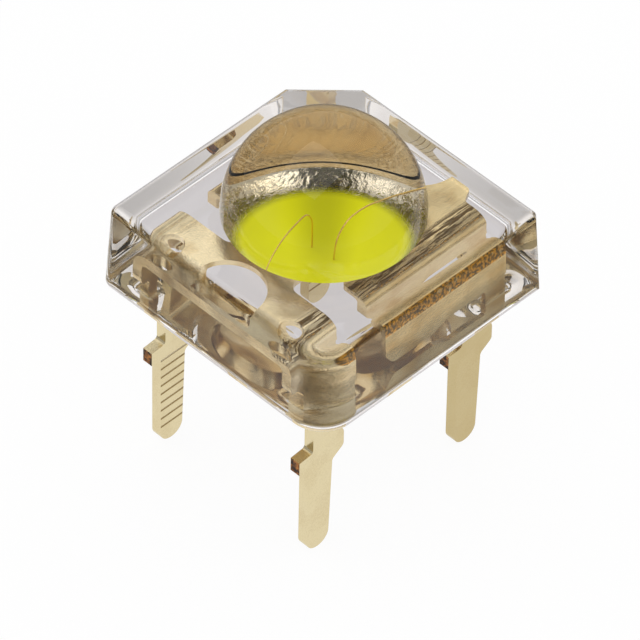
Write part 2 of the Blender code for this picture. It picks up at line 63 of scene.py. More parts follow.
# Fineness of the drawn arcs
ARC_STEP = math.radians(6)
HOLE_STEP = math.radians(12)


def length(name, description, millimetres):
    return bpy.props.FloatProperty(name=name, description=description, default=millimetres * MM,
                                   precision=5, unit="LENGTH")


def colour(name, description, value):
    return bpy.props.FloatVectorProperty(name=name, description=description, default=value,
                                         size=3, min=0.0, max=1.0, subtype="COLOR")


def angle(name, description, degrees):
    return bpy.props.FloatProperty(name=name, description=description, subtype="ANGLE",
                                   default=math.radians(degrees))


class SUPERFLUX_PG_body(bpy.types.PropertyGroup):
    width: length("Width", "Width of the square body at its underside", 7.62)
    height: length("Height", "Height of the body from its underside to its flat top", 2.50)
    lean: length("Lean", "How far each side leans in up to the top", 0.16)
    top_round: length("Top rounding", "Radius of the rounding along the top edges", 0.27)
    dome: length("Dome radius", "Radius of the hemispherical lens on the top", 2.50)
    polarity: length("Polarity chamfer", "Leg of the large corner chamfer", 1.45)
    key: length("Key chamfer", "Leg of the small corner chamfer", 0.24)
    front_round: length("Front rounding", "Radius of the widely rounded corner", 0.95)
    side_round: length("Side rounding", "Radius of the narrow rounded corner", 0.40)
    edge_round: length("Edge rounding", "Radius left on the mould's sharp edges", 0.04)
    recess: length("Recess", "How far the underside is drawn in behind its lip", 0.08)
    lip: length("Lip", "Width of the flat lip round the underside", 0.05)
    shrink: length("Shrink width", "Width over which the underside draws in behind the lip", 0.34)
    creep: length("Creep", "How far the resin climbs down each leg from the recess", 0.08)


class SUPERFLUX_PG_frames(bpy.types.PropertyGroup):
    sheet: length("Sheet", "Thickness of the stamped sheet", 0.30)
    depth: length("Depth", "Depth of the sheet's top face under the body's flat top", 0.87)
    bend: length("Bend radius", "Inner radius of the folds", 0.15)
    pitch: length("Leg pitch", "Distance between the legs' centre lines both ways", 5.08)
    shift_x: length("Leg shift X", "Offset of the four legs from the lens axis along X", -0.10)
    shift_y: length("Leg shift Y", "Offset of the four legs from the lens axis along Y", 0.10)
    leg_width: length("Leg width", "Width of a leg under its stub", 0.82)
    leg_left: length("Leg left", "Distance of a leg's straight edge from its centre line", 0.37)
    tip_width: length("Tip width", "Width that a leg narrows to at its tip", 0.72)
    neck_cut: length("Neck cut", "How far the leg's straight edge steps in above its stub", 0.16)
    stub_top: length("Stub top", "Height of the stub's upper face over the underside", -1.98)
    stub_bottom: length("Stub bottom", "Height of the stub's lower edge over the underside", -2.40)
    stub_reach: length("Stub reach", "How far the cut stub stands out", 0.30)
    bulge_top: length("Bulge top", "Height where the round shoulder starts", -1.45)
    bulge_bottom: length("Bulge bottom", "Height where the round shoulder ends", -2.62)
    bulge_reach: length("Bulge reach", "How far the round shoulder stands out", 0.38)
    flange: length("Flange radius", "Radius of the flange round the cup", 1.84)
    neck: length("Neck width", "Width of the neck between the cup and the side strip", 1.90)
    strip_outer: length("Strip outer edge", "X of the side strip's outer edge", -3.52)
    strip_inner: length("Strip inner edge", "X of the side strip's inner edge", -2.14)
    skirt: length("Skirt bottom", "Height of the pads' lower edge over the underside", 0.60)
    window: length("Window radius", "Radius of the half-round window", 0.97)
    window_x: length("Window X", "X of the window's straight side", -3.24)
    hole: length("Hole diameter", "Diameter of the anchor holes", 0.68)
    hole_x: length("Hole X", "X of the anchor holes", -3.14)
    hole_pitch: length("Hole pitch", "Distance between the anchor holes", 4.00)
    post_round: length("Post clearance", "Radius of the post sheet's edge round the cup", 1.98)
    post_left: length("Post left edge", "X of the post sheet's inner edge", -1.15)
    post_right: length("Post right edge", "X of the post sheet's outer edge", 2.93)
    ear: length("Ear X", "X of the ears beside the notch", 3.31)
    ear_span: length("Ear half span", "Y of the ears' far ends", 1.65)
    notch: length("Notch radius", "Radius of the notch in the post sheet", 1.05)
    notch_x: length("Notch X", "X of the notch's centre", 3.29)
    lobe: length("Skirt lobe", "Height of the post skirt's lobe over the underside", 0.27)
    arch: length("Skirt arch", "Height of the post skirt beside the leg", 0.46)


class SUPERFLUX_PG_cup(bpy.types.PropertyGroup):
    rim: length("Rim radius", "Radius of the cup's rim", 1.47)
    depth: length("Cup depth", "Depth of the cup's floor under the sheet's top", 0.50)
    floor: length("Floor radius", "Radius of the cup's flat floor", 0.98)
    wall: length("Wall", "Thickness of the cup's wall", 0.16)
    fill: length("Fill depth", "Depth of the phosphor's edge under the sheet's top", 0.04)
    crown: length("Fill crown", "How far the phosphor's middle stands over its edge", 0.04)
    cloud: length("Cloud radius", "Radius that the dense phosphor reaches in its clear resin", 1.13)
    wire: length("Wire diameter", "Diameter of the bond wires", 0.025)
    cup_crest: length("Cup wire crest", "Height of the cup wire's loop over the sheet", 0.78)
    post_crest: length("Post wire crest", "Height of the post wire's loop over the sheet", 0.57)
    cup_stitch: length("Cup stitch X", "X of the cup wire's stitch", -1.87)
    post_stitch: length("Post stitch X", "X of the post wire's stitch", 2.11)


class SUPERFLUX_PG_finish(bpy.types.PropertyGroup):
    gold: colour("Plate", "Pale gold plate of the leadframes", (0.86, 0.735, 0.46))
    gold_dull: colour("Plate, dull", "Duller plate of the post's sheet", (0.66, 0.53, 0.28))
    # Darker tone: random tarnish patches, and painted shade round the cup, on the skirts and in the
    # legs' rib grooves
    gold_tarnish_and_shade: colour("Plate, tarnished", "Darker patches of the plate", (0.48, 0.31, 0.10))
    silver: colour("Cup", "Bright plate inside the cup", (0.80, 0.74, 0.60))
    crack: colour("Cracks", "Brown cracks of the plate along the bends", (0.13, 0.075, 0.018))
    bare: colour("Cracked bend", "Bare metal where the plate cracked", (0.66, 0.32, 0.03))
    copper: colour("Cut edge", "Bare copper where the tie bars were cut", (0.55, 0.21, 0.04))
    phosphor: colour("Phosphor", "Yellow resin in the cup", (0.74, 0.74, 0.0))
    # Darker yellow: painted shade, a streak from the middle of the cup away from the camera
    phosphor_shade: colour("Phosphor, deep", "Darker yellow over the chip", (0.50, 0.50, 0.0))
    epoxy: colour("Epoxy", "Faint tint of the clear resin", (0.985, 0.970, 0.980))
    wire: colour("Wire", "Gold of the bond wires", (0.92, 0.64, 0.18))


class SUPERFLUX_PG_studio(bpy.types.PropertyGroup):
    floor: colour("Floor", "Pale floor", (0.90, 0.90, 0.90))
    azimuth: angle("Azimuth", "Direction from the body to the camera, from -Y toward +X", -45.6)
    elevation: angle("Elevation", "Angle of the camera over the horizontal", 45.76)
    roll: angle("Roll", "Turn of the camera about its own axis", 1.10)
    distance: length("Distance", "Distance from the camera to the body", 200.0)


def sheet_top():
    """Height of the top face of both sheets."""
    scene = bpy.context.scene
    return UNDERSIDE + scene.superflux_body.height - scene.superflux_frames.depth


# Shapes

def linked(name, data):
    """New object with this data, in the scene."""
    made = bpy.data.objects.new(name, data)
    bpy.context.scene.collection.objects.link(made)
    return made


def read(items, key, width=1):
    """One property of a mesh's points or faces as an array (n, width)."""
    values = np.zeros(len(items) * width)
    items.foreach_get(key, values)
    return values.reshape(-1, width)


def corner_frame(corners, i):
    """Corner i, unit directions to both neighbours, the shorter side's length, the opening."""
    here, before, after = (np.array(corners[j % len(corners)][:2]) for j in (i, i - 1, i + 1))
    before, after = before - here, after - here
    room = min(np.linalg.norm(before), np.linalg.norm(after))
    before, after = before / np.linalg.norm(before), after / np.linalg.norm(after)
    return here, before, after, room, math.acos(float(np.clip(before @ after, -1, 1)))


def corner_arc(corner, radius, count):
    """Points (count + 1, 2) of the arc of that radius that touches both sides of a corner.

    Its centre is on the bisector at r / sin(opening / 2). It turns by 180 degrees less the opening.
    """
    here, before, after, _, opening = corner
    middle = (before + after) / np.linalg.norm(before + after)
    centre = here + middle * radius / math.sin(opening / 2)
    start = here + before * radius / math.tan(opening / 2) - centre
    side = 1.0 if before[0] * after[1] < before[1] * after[0] else -1.0
    turn = side * np.linspace(0, math.pi - opening, count + 1)
    return np.stack([centre[0] + start[0] * np.cos(turn) - start[1] * np.sin(turn),
                     centre[1] + start[0] * np.sin(turn) + start[1] * np.cos(turn)], 1)


def rounded_outline(corners):
    """Closed outline (n, 2) through corners (x, y, radius), each turned in steps of an arc."""
    points = []
    for i, (x, y, radius) in enumerate(corners):
        if radius <= 0:
            points.append(np.array(((x, y),)))
            continue
        corner = corner_frame(corners, i)
        steps = math.ceil((math.pi - corner[4]) / ARC_STEP - 1e-6)
        points.append(corner_arc(corner, radius, max(1, steps)))
    loop = np.concatenate(points)
    return loop[np.linalg.norm(loop - np.roll(loop, 1, 0), axis=1) > SAME]


def arc_corners(x, y, radius, start, end, step=ARC_STEP):
    """Points of a circular arc as corners of no radius."""
    turn = np.linspace(start, end, max(2, math.ceil(abs(end - start) / step)) + 1)
    return [(x + radius * math.cos(t), y + radius * math.sin(t), 0.0) for t in turn]


def mesh_piece(name, rings, material, smooth):
    """Closed mesh object from rings of points (i, j, 3), turned to face out and shaded smooth."""
    mesh = bpy.data.meshes.new(name)
    mesh.from_pydata(rings.reshape(-1, 3).tolist(), [], ring_faces(*rings.shape[:2]))
    mesh.update()
    bm = bmesh.new()
    bm.from_mesh(mesh)
    bmesh.ops.remove_doubles(bm, verts=bm.verts, dist=WELD)
    bmesh.ops.recalc_face_normals(bm, faces=bm.faces)
    bm.to_mesh(mesh)
    bm.free()
    mesh.shade_smooth()
    mesh.set_sharp_from_angle(angle=math.radians(smooth))
    mesh.materials.append(material)
    return linked(name, mesh)


def ring_faces(levels, around):
    """Quads between successive closed rings of points, ring by ring."""
    i, j = np.meshgrid(np.arange(levels - 1), np.arange(around), indexing="ij")
    k = (j + 1) % around
    here, above = i * around, (i + 1) * around
    return np.stack([here + j, here + k, above + k, above + j], -1).reshape(-1, 4).tolist()


def turned_piece(name, profile, material, smooth, steps=128):
    """Closed solid of a profile (radius, z) turned about the lens axis.

    Point (i, j) is (r_i cos a_j, r_i sin a_j, z_i); rings of no radius merge to one point.
    """
    profile = np.array(profile, float)
    turn = np.linspace(0, math.tau, steps, endpoint=False)
    rings = np.stack([profile[:, :1] * np.cos(turn), profile[:, :1] * np.sin(turn),
                      np.repeat(profile[:, 1:], steps, 1)], -1)
    return mesh_piece(name, rings, material, smooth)


def smooth_route(knots, count):
    """Points at equal steps along a smooth cubic curve through the knots (n, 3)."""
    knots = np.array(knots, float)
    reach = np.concatenate([[0], np.cumsum(np.linalg.norm(np.diff(knots, axis=0), axis=1))])
    slope = np.gradient(knots, reach, axis=0)
    at = np.linspace(0, reach[-1], count)
    i = np.clip(np.searchsorted(reach, at, side="right") - 1, 0, len(knots) - 2)
    span = (reach[i + 1] - reach[i])[:, None]
    u = (at - reach[i])[:, None] / span
    return (knots[i] * (2 * u**3 - 3 * u**2 + 1) + knots[i + 1] * (3 * u**2 - 2 * u**3)
            + slope[i] * span * (u**3 - 2 * u**2 + u) + slope[i + 1] * span * (u**3 - u**2))


def tube_rings(route, radii, around=12):
    """Rings of a tube: round sections of the given radii across the route's own direction."""
    along = np.gradient(route, axis=0)
    along /= np.linalg.norm(along, axis=1, keepdims=True)
    side = np.cross(along, np.array([0.0, 1.0, 0.0]))
    side /= np.linalg.norm(side, axis=1, keepdims=True)
    other = np.cross(along, side)
    turn = np.linspace(0, math.tau, around, endpoint=False)[None, :, None]
    radii = np.asarray(radii)[:, None, None]
    return route[:, None] + radii * (side[:, None] * np.cos(turn) + other[:, None] * np.sin(turn))


# Clear body

# Smallest radius of a corner in plan, and how fast the resin's rise at a leg dies away
SMALL_ROUND = 0.02 * MM
CREEP_REACH = 0.16 * MM
# Share of a side that a corner's arc may take
MOST_SIDE = 0.45
# How fast the recess levels out behind the lip
LEVEL_OUT = 4
# Rings of the recess, the slope to the lip, the lower edge, the side, the top edge, flat and dome
RECESS_RINGS, LIP_RINGS, EDGE_RINGS, SIDE_RINGS = 72, 13, 5, 12
TOP_RINGS, FLAT_RINGS, DOME_RINGS = 9, 7, 65


def body_loop(sizes, inset):
    """Plan outline of the body at an inset, always with the same number of points.

    Each corner (x, y, radius, arc steps, points of the side after it) is an arc, each side a
    straight run; the corners' radii shrink with the inset.
    """
    half = sizes.width / 2 - inset
    cut = inset * (2 - math.sqrt(2))
    key, polarity = max(sizes.key - cut, SMALL_ROUND), sizes.polarity - cut
    small = sizes.edge_round
    corners = [
        (-half, -half, sizes.front_round - inset, 24, 56),
        (half - key, -half, small, 4, 4),
        (half, -half + key, small, 4, 44),
        (half, half - polarity, small, 4, 24),
        (half - polarity, half, small, 4, 44),
        (-half, half, sizes.side_round - inset, 12, 52),
    ]
    arcs = []
    for i, (_, _, radius, count, _) in enumerate(corners):
        corner = corner_frame(corners, i)
        most = MOST_SIDE * corner[3] * math.tan(corner[4] / 2)
        arcs.append(corner_arc(corner, float(np.clip(radius, SMALL_ROUND, most)), count))
    runs = []
    for i, (arc, corner) in enumerate(zip(arcs, corners)):
        following = arcs[(i + 1) % len(arcs)][0]
        share = np.linspace(0, 1, corner[4] + 2)[1:-1, None]
        runs += [arc, arc[-1] * (1 - share) + following * share]
    return np.concatenate(runs)


def leg_rectangles(frames):
    """Plan rectangles (x0, x1, y0, y1) of the four legs where they leave the body."""
    half_y = frames.sheet / 2
    rows = []
    for side_x in (-1, 1):
        for side_y in (-1, 1):
            x = frames.shift_x + side_x * frames.pitch / 2
            y = frames.shift_y + side_y * frames.pitch / 2
            _, right, neck = leg_edges(frames, x)
            rows.append((neck, right, y - half_y, y + half_y))
    return np.array(rows)


def creep_height(x, y, body, frames):
    """Drop of the resin at the legs: it dies away exponentially with the distance from a leg."""
    drop = np.zeros_like(x)
    for x0, x1, y0, y1 in leg_rectangles(frames):
        gap_x = np.maximum(np.maximum(x0 - x, x - x1), 0)
        gap_y = np.maximum(np.maximum(y0 - y, y - y1), 0)
        drop = np.maximum(drop, body.creep * np.exp(-np.hypot(gap_x, gap_y) / CREEP_REACH))
    return drop


def body_rings(body, frames):
    """Rings of the outer surface from the middle of the underside, round the body, to the pole.

    Underside: shrunken copies of the lip's inner outline, drawn in by the recess and down the legs.
    Sides: the outline at an inset that grows with the height. Top: a blend from the outline to the
    dome's circle. Dome: circles of a hemisphere.
    """
    rings = []

    def ring(plan, height):
        rings.append(np.column_stack([plan, np.full(len(plan), UNDERSIDE + height)]))

    inner = body_loop(body, body.lip + body.shrink)
    for share in np.linspace(0, 1, RECESS_RINGS)[:-1]:
        plan = inner * share
        ring(plan, body.recess - creep_height(*plan.T, body, frames))
    for share in np.linspace(0, 1, LIP_RINGS):
        behind = (1 - share)**2
        plan = body_loop(body, body.lip + behind * body.shrink)
        rise = body.recess * (1 - math.exp(-LEVEL_OUT * behind)) / (1 - math.exp(-LEVEL_OUT))
        drop = creep_height(*plan.T, body, frames) * behind
        ring(plan, np.maximum(rise - drop, 0 if share == 1 else -1))
    small, wall_top = body.edge_round, body.height - body.top_round
    for turn in np.linspace(0, math.pi / 2, EDGE_RINGS):
        ring(body_loop(body, small * (1 - math.sin(turn))), small * (1 - math.cos(turn)))
    for share in np.linspace(0.05, 1, SIDE_RINGS):
        z = small + (wall_top - small) * share
        ring(body_loop(body, body.lean * z / body.height), z)
    lean_top = body.lean * wall_top / body.height
    for turn in np.linspace(0, math.pi / 2, TOP_RINGS)[1:]:
        inset = lean_top + body.top_round * (1 - math.cos(turn))
        ring(body_loop(body, inset), wall_top + body.top_round * math.sin(turn))
    flat = rings[-1][:, :2]
    around = np.arctan2(flat[:, 1], flat[:, 0])
    circle = body.dome * np.column_stack([np.cos(around), np.sin(around)])
    for share in np.linspace(0, 1, FLAT_RINGS)[1:-1]:
        ring(flat * (1 - share) + circle * share, body.height)
    for turn in np.linspace(0, math.pi / 2, DOME_RINGS):
        ring(circle * math.cos(turn), body.height + body.dome * math.sin(turn))
    return np.array(rings)


# Stamped sheet

# Radii of the stamping's corners: most of them, the wide ones and those of the post skirt's lobe
CORNER = 0.15 * MM
WIDE_CORNER = 0.30 * MM
LOBE_CORNER = 0.25 * MM
# X where the lobe's arch ends, where the lobe starts and where it ends
LOBE_X = (0.95 * MM, 0.45 * MM, -0.90 * MM)
# Radius of the neck's corner over the stub, the slope of the stub's top, and of the shoulder's end
NECK_CORNER = 0.10 * MM
STUB_SLOPE = 0.04 * MM
SHOULDER_SLOPE = 0.25 * MM
# Lines that cut up a fold so that it bends, and the width of the broken edges
FOLD_CUTS = 13
BROKEN_EDGE = 0.022 * MM


def unfolded(frames, height):
    """Distance along the flat sheet, from the leg rows' middle, to a height over the underside."""
    middle = sheet_top() - frames.sheet / 2
    radius = frames.bend + frames.sheet / 2
    turned = frames.pitch / 2 - radius + radius * math.pi / 2
    return turned + middle - radius - UNDERSIDE - height


def leg_edges(frames, leg_x):
    """X of a leg's straight edge, its bulged edge and the edge of its neck."""
    left = leg_x - frames.leg_left
    return left, left + frames.leg_width, left + frames.neck_cut


def leg_corners(frames, leg_x):
    """Corners of one leg: down its bulged edge, round the tip and up to the stub and the neck."""
    left, right, _ = leg_edges(frames, leg_x)
    reach, round_tip = frames.bulge_reach, frames.tip_width / 2 - SAME
    corners = [
        (right, frames.bulge_top, CORNER),
        (right + reach, frames.bulge_top - reach, WIDE_CORNER),
        (right + reach, frames.bulge_bottom + SHOULDER_SLOPE, CORNER),
        (right, frames.bulge_bottom, CORNER),
        (left + frames.tip_width, -UNDERSIDE, round_tip),
        (left, -UNDERSIDE, round_tip),
        (left, frames.stub_bottom, 0.0),
        (left - frames.stub_reach, frames.stub_bottom, 0.0),
        (left - frames.stub_reach, frames.stub_top, 0.0),
        (left + frames.neck_cut, frames.stub_top + STUB_SLOPE, NECK_CORNER),
    ]
    return [(x, unfolded(frames, height), radius) for x, height, radius in corners]


def other_row(corners):
    """The same corners on the other leg row, in the order that closes the outline."""
    return [(x, -y, radius) for x, y, radius in reversed(corners)]


def cup_sheet(frames, cup):
    """Flat outline, mouth, window and holes of the sheet that carries the cup."""
    leg_x = frames.shift_x - frames.pitch / 2
    _, right, neck = leg_edges(frames, leg_x)
    edge, axis = unfolded(frames, frames.skirt), -frames.shift_y
    shoulder = (frames.strip_inner - right) / 2
    leg = [(frames.strip_inner, edge, shoulder), (right, edge, shoulder)]
    leg += leg_corners(frames, leg_x)
    leg += [(neck, edge, CORNER), (frames.strip_outer, edge, WIDE_CORNER)]
    half = frames.neck / 2
    start = math.acos(-math.sqrt(frames.flange**2 - half**2) / frames.flange)
    outline = [(frames.strip_inner, axis - half, WIDE_CORNER)]
    outline += arc_corners(0, axis, frames.flange, -start, start)
    outline += [(frames.strip_inner, axis + half, WIDE_CORNER)] + leg + other_row(leg)
    loops = [outline, arc_corners(0, axis, cup.rim, 0, math.tau)[:-1],
             arc_corners(frames.window_x, axis, frames.window, -math.pi / 2, math.pi / 2)]
    for side in (-1, 1):
        centre = axis + side * frames.hole_pitch / 2
        circle = arc_corners(frames.hole_x, centre, frames.hole / 2, 0, math.tau, HOLE_STEP)
        loops.append(circle[:-1])
    return loops


def post_sheet(frames):
    """Flat outline of the sheet that carries the second bond."""
    leg_x = frames.shift_x + frames.pitch / 2
    _, right, neck = leg_edges(frames, leg_x)
    edge, axis = unfolded(frames, frames.skirt), -frames.shift_y
    lobe, arch = unfolded(frames, frames.lobe), unfolded(frames, frames.arch)
    shoulder = (frames.post_right - right) / 2
    leg = [(frames.post_right, edge, shoulder), (right, edge, shoulder)]
    leg += leg_corners(frames, leg_x)
    leg += [(neck, arch, LOBE_CORNER / 2), (LOBE_X[0], arch, LOBE_CORNER / 2),
            (LOBE_X[1], lobe, LOBE_CORNER), (LOBE_X[2], lobe, LOBE_CORNER),
            (frames.post_left, edge, LOBE_CORNER / 2)]
    horn = math.acos(frames.post_left / frames.post_round)
    inner = arc_corners(0, axis, frames.post_round, horn, -horn)
    inner[0] = (*inner[0][:2], CORNER)
    inner[-1] = (*inner[-1][:2], CORNER)
    notch = arc_corners(frames.notch_x, axis, frames.notch, 1.5 * math.pi, 0.5 * math.pi)
    step = (frames.ear - frames.post_right) / 2
    ear = [(frames.ear, frames.notch + axis, 0.0), (frames.ear, frames.ear_span + axis, CORNER),
           (frames.post_right, frames.ear_span + axis + step, CORNER)]
    below = [(x, 2 * axis - y, radius) for x, y, radius in reversed(ear)]
    return [below + notch + ear + leg + inner + other_row(leg)]


def folded_sheet(name, loops, frames, materials):
    """Stamped sheet, folded down along both leg rows.

    The flat outlines are filled and thickened. Past the fold line a point at distance s along the
    sheet and h off its middle goes to (R + h) sin(s / R) outward and (R + h) cos(s / R) - R up, for
    a quarter turn of the middle radius R, and from there straight down.
    """
    curve = bpy.data.curves.new(name, "CURVE")
    curve.dimensions, curve.fill_mode, curve.extrude = "2D", "BOTH", frames.sheet / 2
    for corners in loops:
        loop = rounded_outline(corners)
        spline = curve.splines.new("POLY")
        spline.points.add(len(loop) - 1)
        spline.points.foreach_set("co", np.column_stack([loop, np.zeros(len(loop)),
                                                         np.ones(len(loop))]).ravel())
        spline.use_cyclic_u = True
    flat = linked(name + "_flat", curve)
    bpy.context.view_layer.update()
    graph = bpy.context.evaluated_depsgraph_get()
    mesh = bpy.data.meshes.new_from_object(flat.evaluated_get(graph))
    bpy.data.objects.remove(flat)
    bpy.data.curves.remove(curve)
    bm = bmesh.new()
    bm.from_mesh(mesh)
    bmesh.ops.remove_doubles(bm, verts=bm.verts, dist=SAME)
    bmesh.ops.dissolve_degenerate(bm, edges=bm.edges, dist=SAME)
    bmesh.ops.dissolve_limit(bm, angle_limit=math.radians(0.5), verts=bm.verts, edges=bm.edges)
    radius = frames.bend + frames.sheet / 2
    flat_half, turn_length = frames.pitch / 2 - radius, radius * math.pi / 2
    for stop in flat_half + turn_length * np.linspace(0, 1, FOLD_CUTS):
        for side in (-1, 1):
            parts = list(bm.verts) + list(bm.edges) + list(bm.faces)
            bmesh.ops.bisect_plane(bm, geom=parts, dist=SAME, plane_co=(0, side * stop, 0),
                                   plane_no=(0, 1, 0))
    bmesh.ops.recalc_face_normals(bm, faces=bm.faces)
    bm.to_mesh(mesh)
    bm.free()
    x, s, h = read(mesh.vertices, "co", 3).T
    side, s = np.sign(s), np.abs(s)
    turn = np.clip(s - flat_half, 0, turn_length) / radius
    below = np.maximum(s - flat_half - turn_length, 0)
    middle = sheet_top() - frames.sheet / 2
    out = np.minimum(s, flat_half) + (radius + h) * np.sin(turn)
    z = middle + (radius + h) * np.cos(turn) - radius - below
    mesh.vertices.foreach_set("co", np.column_stack([x, frames.shift_y + side * out, z]).ravel())
    mesh.update()
    for material in materials:
        mesh.materials.append(material)
    return linked(name, mesh)


def mark_faces(mesh, slot, test):
    """Give the faces that pass the test, on their centres and normals, another material slot."""
    centres, normals = read(mesh.polygons, "center", 3), read(mesh.polygons, "normal", 3)
    slots = read(mesh.polygons, "material_index").ravel().astype(int)
    slots[test(centres, normals)] = slot
    mesh.polygons.foreach_set("material_index", slots)


def finish_sheet(piece, frames, leg_x):
    """Copper on the cut stub ends, ribs on the legs' inner faces, and rounded edges."""
    near = 0.01 * MM
    stub_x = leg_x - frames.leg_left - frames.stub_reach
    half = frames.pitch / 2 - frames.sheet / 2
    mark_faces(piece.data, 1, lambda c, n: (np.abs(c[:, 0] - stub_x) < near) & (n[:, 0] < -0.9))
    mark_faces(piece.data, 2,
               lambda c, n: (np.abs(np.abs(c[:, 1] - frames.shift_y) - half) < near)
               & (np.abs(n[:, 1]) > 0.9) & (c[:, 2] < UNDERSIDE))
    piece.data.shade_smooth()
    piece.data.set_sharp_from_angle(angle=math.radians(30))
    bevel = piece.modifiers.new("broken edges", "BEVEL")
    bevel.width = BROKEN_EDGE
    bevel.segments = 2
    bevel.limit_method = "ANGLE"
    bevel.angle_limit = math.radians(40)
    bevel.harden_normals = True


# Materials

class Nodes:
    """Short calls that add nodes to a tree on a grid, and link or set the inputs they are given."""

    def __init__(self, tree):
        self.tree = tree

    def feed(self, sockets, values):
        """Link each value that is an output to its socket, and set the others."""
        for socket, value in zip(sockets, values):
            if isinstance(value, bpy.types.NodeSocket):
                self.tree.links.new(value, socket)
            elif value is not None:
                socket.default_value = value

    def add(self, kind, **values):
        """New node; a value named like an input goes to that input, any other sets the node."""
        made = self.tree.nodes.new("ShaderNode" + kind)
        column, row = divmod(len(self.tree.nodes), 8)
        made.location = (220 * column - 2000, 800 - 260 * row)
        self.dress(made, **values)
        return made

    def dress(self, made, **values):
        """Inputs and settings of a node, by their names."""
        for key, value in values.items():
            name = key.replace("_", " ")
            if name in made.inputs:
                self.feed((made.inputs[name],), (value,))
            else:
                setattr(made, key, value)

    def math(self, operation, *values, clamp=False):
        made = self.add("Math", operation=operation, use_clamp=clamp)
        self.feed(made.inputs, values)
        return made.outputs[0]

    def times(self, a, b, plus=None):
        """Product of two values, with a third one added if there is one."""
        return self.math("MULTIPLY" if plus is None else "MULTIPLY_ADD", a, b, plus)

    def vector(self, operation, *values):
        made = self.add("VectorMath", operation=operation)
        self.feed(made.inputs, values)
        return made.outputs["Value" if operation in ("LENGTH", "DOT_PRODUCT") else "Vector"]

    def step(self, value, low, high, start=0.0, end=1.0, kind="SMOOTHSTEP"):
        """Value taken from the range low to high to the range start to end."""
        return self.add("MapRange", interpolation_type=kind, Value=value, From_Min=low,
                        From_Max=high, To_Min=start, To_Max=end).outputs["Result"]

    def noise(self, vector, scale, detail=3.0, roughness=0.5):
        return self.add("TexNoise", Vector=vector, Scale=scale, Detail=detail,
                        Roughness=roughness).outputs["Fac"]

    def mix(self, factor, a, b):
        """Colour a where the factor is 0 and b where it is 1."""
        made = self.add("Mix", data_type="RGBA")
        tones = [tone if isinstance(tone, bpy.types.NodeSocket) else (*tone[:3], 1)
                 for tone in (a, b)]
        self.feed((made.inputs[0], *made.inputs[6:8]), (factor, *tones))
        return made.outputs[2]

    def blend(self, factor, a, b):
        made = self.add("MixShader")
        self.feed(made.inputs, (factor, a, b))
        return made.outputs[0]

    def bump(self, height, strength, distance):
        made = self.add("Bump", Height=height, Strength=strength, Distance=distance)
        return made.outputs["Normal"]

    def where(self, kind="Object"):
        return self.add("TexCoord").outputs[kind]

    def axes(self, vector):
        return self.add("SeparateXYZ", Vector=vector).outputs


def new_material(name):
    """Node material with its tree's short calls and its Principled shader."""
    made = bpy.data.materials.new(name)
    made.use_nodes = True
    return made, Nodes(made.node_tree), made.node_tree.nodes["Principled BSDF"]


# How many times longer than wide the rolling lines are
LINE_STRETCH = 14


def plated_sheet_group():
    """Group: how a plated sheet's tone and height vary over it, in millimetres.

    Patches are soft noise, less of it outside the body, and painted shade: more of the darker tone
    round the cup and on the skirts. Lines are noise drawn out along X, the rolling direction, cut
    to thin dark lines, faint on the flats and absent outside the body. Bare is coarse noise in a
    band of the outer fold. Height is a fine grain and slow waves, less the lines.
    """
    name = "plated_sheet"
    tree = bpy.data.node_groups.get(name)
    if tree:
        return tree
    tree = bpy.data.node_groups.new(name, "ShaderNodeTree")
    for side, labels in (("INPUT", ("Row Y", "Sheet Z", "Middle Y")),
                         ("OUTPUT", ("Patches", "Lines", "Bare", "Height"))):
        for label in labels:
            tree.interface.new_socket(label, in_out=side, socket_type="NodeSocketFloat")
    nodes, given = Nodes(tree), tree.nodes.new("NodeGroupInput").outputs
    times, step, noise = nodes.times, nodes.step, nodes.noise

    # Places: under the sheet's top, beyond the leg row, inside the body
    place = nodes.vector("MULTIPLY", nodes.where(), (1 / MM, 1 / MM, 1 / MM))
    x, y, z = nodes.axes(place)
    under = nodes.math("SUBTRACT", given["Sheet Z"], z)
    across = nodes.math("ABSOLUTE", nodes.math("SUBTRACT", y, given["Middle Y"]))
    beyond = nodes.math("SUBTRACT", across, given["Row Y"])
    inside = step(under, 1.6, 1.5)
    grain, waves = noise(place, 26.0, 2.0), noise(place, 0.8, 1.0, 0.4)

    # Soft patches, with painted shade round the cup and on the skirts
    from_axis = nodes.vector("LENGTH", nodes.vector("MULTIPLY", place, (1, 1, 0)))
    shade_round_cup = times(step(from_axis, 2.9, 1.9), 0.5)
    skirt = times(step(under, 0.45, 0.75), step(under, 1.65, 1.45))
    painted_shade = times(skirt, times(step(waves, 0.46, 0.58), 0.75, 0.15), shade_round_cup)
    blotch = times(step(noise(place, 1.3), 0.42, 0.68), times(inside, 0.30, 0.15))
    patches = nodes.math("ADD", nodes.math("ADD", blotch, painted_shade), times(grain, 0.5, -0.25))

    # Rolling lines, deep on the folds and nearly gone at the far end of the cup's sheet
    fine = noise(nodes.vector("MULTIPLY", place, (1 / LINE_STRETCH, 1, 1)), 17.0, 3.0, 0.7)
    folded = times(step(beyond, -0.60, -0.46), step(under, 0.20, 0.08))
    far_end = times(step(x, -0.8, -1.6), step(y, 0.2, 1.0))
    kept = times(inside, times(far_end, -0.85, 1.0))
    lines = times(step(fine, 0.47, 0.54), times(times(folded, 0.95, 0.05), kept))

    # Band of the outer fold where the plate has cracked
    band = times(step(under, 0.09, 0.12), step(under, 0.42, 0.38))
    outer = times(band, step(beyond, -0.06, -0.02))
    bare = times(outer, step(noise(place, 2.6, 6.0, 0.75), 0.38, 0.43))
    height = times(lines, -0.9, times(grain, 0.25, times(waves, 6.0)))

    out = tree.nodes.new("NodeGroupOutput")
    out.location = (2600, 0)
    nodes.feed(out.inputs, (patches, lines, bare, height))
    return tree


# Distance between the legs' ribs
RIB_PITCH = 0.29 * MM


